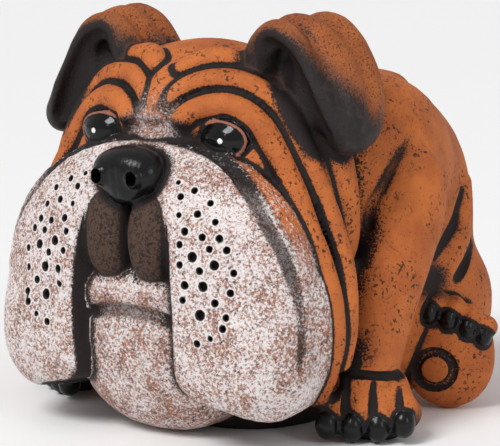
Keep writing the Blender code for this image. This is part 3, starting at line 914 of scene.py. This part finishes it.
def muzzle_paint(paint, colour, speckle):
    """Chalk white dry-brushed over rust and slate, on the jowls, the chin, the cheek folds and the blaze."""
    flecks = paint.mix(paint.step(paint.grain(1.4, 3.0, 0.7, 11.0), 0.50, 0.58), RUST, SLATE)
    patches = paint.add(paint.grain(14, 3.0, 0.6, 15.0), -0.5)
    cover = paint.add(paint.grain(1.2, 4.0, 0.8, 13.0), paint.times(patches, 0.30))
    chalk = paint.mix(paint.times(paint.step(cover, 0.43, 0.55), 0.94), flecks, CHALK)
    thin_chalk = paint.mix(paint.times(paint.step(cover, 0.46, 0.58), 0.90), flecks, CHALK)
    bare_chalk = paint.mix(paint.times(paint.step(cover, 0.54, 0.64), 0.75), colour, CHALK)
    place = paint.position()
    aside = paint.math("ABSOLUTE", paint.add(place["X"], paint.times(speckle, 0.020)))
    between_eyes = paint.times(paint.step(aside, 0.016, 0.005),
                               paint.ragged(place["Z"], speckle, 0.060, 0.164, 0.146),
                               paint.step(place["Y"], -0.045, -0.055))
    colour = paint.mix(paint.times(between_eyes, 0.9), colour, thin_chalk)
    fold = paint.mix(paint.ragged(place["Z"], speckle, 0.05, 0.112, 0.080), bare_chalk, thin_chalk)
    behind = paint.times(paint.step(place["Y"], -0.0745, -0.0715), paint.step(place["Z"], 0.035, 0.050))
    colour = paint.coated("cheek_fold", colour, fold)
    colour = paint.coated("chin", colour, thin_chalk)
    colour = paint.coated("jowls", colour, paint.mix(behind, chalk, fold))
    # Chalk on the top edge of the lip, laid brighter there as a painted highlight.
    lip_top_chalk_and_highlight = paint.times(paint.step(paint.mask("lip"), 1.2, 0.6), paint.step(place["Z"], 0.0715, 0.0745))
    colour = paint.mix(paint.times(lip_top_chalk_and_highlight, 0.85), colour, CHALK)
    ring = paint.ragged(paint.mask("whiskers"), speckle, 1.6, 1.2, 0.7)
    colour = paint.mix(paint.times(ring, 0.8), colour, CHALK)
    brown = paint.mix(paint.step(paint.grain(1.2, 3.0, 0.7, 17.0), 0.46, 0.60), UMBER, WASH_AND_SHADE)
    return paint.coated("lobes", colour, brown)


def wash_and_shade_on_muzzle(paint, speckle):
    """The share of dark wash in the muzzle's creases, round the nose, the gap and the holes, and of painted
    shade.
    """
    jowls_away, chin_away = paint.mask("jowls"), paint.mask("chin")
    # Painted shade on the chin where it meets the jowls.
    chin_shade_beside_jowl = paint.times(paint.ragged(jowls_away, speckle, 9.0, 3.0, 0.8), paint.step(jowls_away, 0.2, 0.6),
                       paint.step(chin_away, 1.2, 0.8))
    total = paint.most(wash_and_shade_share(paint, speckle, MUZZLE_WASH_AND_SHADE), chin_shade_beside_jowl)
    on_muzzle = paint.least(jowls_away, chin_away, paint.mask("lobes"))
    return paint.times(total, paint.step(on_muzzle, 1.2, 0.8))


def gloss_paint(paint, colour):
    """Pink lids, then gloss black on the eyes, nose and claws, and the white glint of each eye."""
    lids_away, eye_away = paint.mask("lids"), paint.mask("eye")
    rims = paint.times(paint.step(lids_away, 0.5, 0.2), paint.step(eye_away, 1.9, 1.3))
    colour = paint.mix(paint.times(rims, 0.8), colour, PINK)
    bare_eye = paint.most(eye_away, paint.math("SUBTRACT", 0.5, lids_away))
    nearest = paint.least(bare_eye, paint.add(paint.mask("nose"), -0.4), paint.mask("claws"))
    gloss = paint.step(nearest, 0.45, 0.2)
    colour = paint.mix(gloss, colour, GLOSS)
    return paint.mix(paint.step(paint.mask("glint"), 0.15, -0.15), colour, GLINT_WHITE), gloss


def build_planter():
    mesh = planter_mesh()
    co = np.empty(len(mesh.vertices) * 3, np.float32)
    mesh.vertices.foreach_get("co", co)
    points = co.reshape(-1, 3).astype(float) / MM
    outward = slopes(figure, points)
    found = masks(points, outward)
    shown = np.abs(figure(points)) < ON_SKIN
    moved = points + outward * (relief(points, found) * shown)[:, None]
    moved[:, 2] = np.where(points[:, 2] < ON_GROUND, points[:, 2], moved[:, 2])
    mesh.vertices.foreach_set("co", (moved * MM).astype(np.float32).ravel())
    for name, values in found.items():
        attribute = mesh.attributes.new(name, "FLOAT", "POINT")
        attribute.data.foreach_set("value", values.astype(np.float32))
    mesh.name = "planter"
    mesh.materials.clear()
    mesh.materials.append(painted_terracotta())
    mesh.shade_smooth()
    mesh.set_sharp_from_angle(angle=radians(60))
    planter = bpy.data.objects.new("planter", mesh)
    bpy.context.collection.objects.link(planter)
    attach(planter, "root")
    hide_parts("bulldog_planter")


def pale_floor():
    """A wide plain floor with a faint unevenness in its colour."""
    size = 12000
    floor = add_object("floor", [(-size, -size, 0), (size, -size, 0), (size, size, 0), (-size, size, 0)],
                       [(0, 1, 2, 3)])
    paint = Paint("pale_floor")
    tint = paint.mix(paint.grain(30, 2.0), (0.93, 0.93, 0.93, 1), (0.95, 0.95, 0.95, 1))
    paint.feed(paint.shader.inputs["Base Color"], tint)
    paint.shader.inputs["Roughness"].default_value = 0.9
    floor.data.materials.append(paint.material)


def aim(lamp, place):
    """Puts a lamp at place, in metres, turned to the middle of the figure."""
    middle = Vector((0, 0, 0.1))
    lamp.location = place
    lamp.rotation_euler = (Vector(place) - middle).to_track_quat("Z", "Y").to_euler()


def soft_box(name, place, width, height, power):
    light = bpy.data.lights.new(name, "AREA")
    light.shape = "RECTANGLE"
    light.size = width
    light.size_y = height
    light.energy = power
    lamp = bpy.data.objects.new(name, light)
    bpy.context.collection.objects.link(lamp)
    aim(lamp, place)


def broad_sun(name, place, spread, strength):
    light = bpy.data.lights.new(name, "SUN")
    light.angle = radians(spread)
    light.energy = strength
    lamp = bpy.data.objects.new(name, light)
    bpy.context.collection.objects.link(lamp)
    aim(lamp, place)


def studio():
    pale_floor()
    world = bpy.data.worlds.new("studio")
    bpy.context.scene.world = world
    world.use_nodes = True
    background = world.node_tree.nodes["Background"]
    background.inputs["Color"].default_value = (1, 1, 1, 1)
    background.inputs["Strength"].default_value = 0.5
    broad_sun("sun", (-0.1, -0.8, 1.0), spread=24, strength=1.9)
    soft_box("strip", (-0.1, -1.1, 0.9), width=0.10, height=0.6, power=1.0)
    soft_box("side", (1.3, -0.3, 0.6), width=0.3, height=0.6, power=2.5)
    bpy.context.scene.view_settings.view_transform = "Standard"


def photo_camera():
    camera = bpy.data.cameras.new("camera")
    camera.sensor_width = 36
    camera.lens = CAMERA_LENS
    camera.clip_end = 100
    stand = bpy.data.objects.new("camera", camera)
    bpy.context.collection.objects.link(stand)
    azimuth, elevation = radians(CAMERA_AZIMUTH), radians(CAMERA_ELEVATION)
    level = np.cos(elevation)
    back = Vector((np.sin(azimuth) * level, -np.cos(azimuth) * level, np.sin(elevation)))
    stand.location = (Vector(CAMERA_TARGET) + CAMERA_DISTANCE * back) * MM
    stand.rotation_euler = back.to_track_quat("Z", "Y").to_euler()
    bpy.context.scene.camera = stand


build_planter()
studio()
photo_camera()
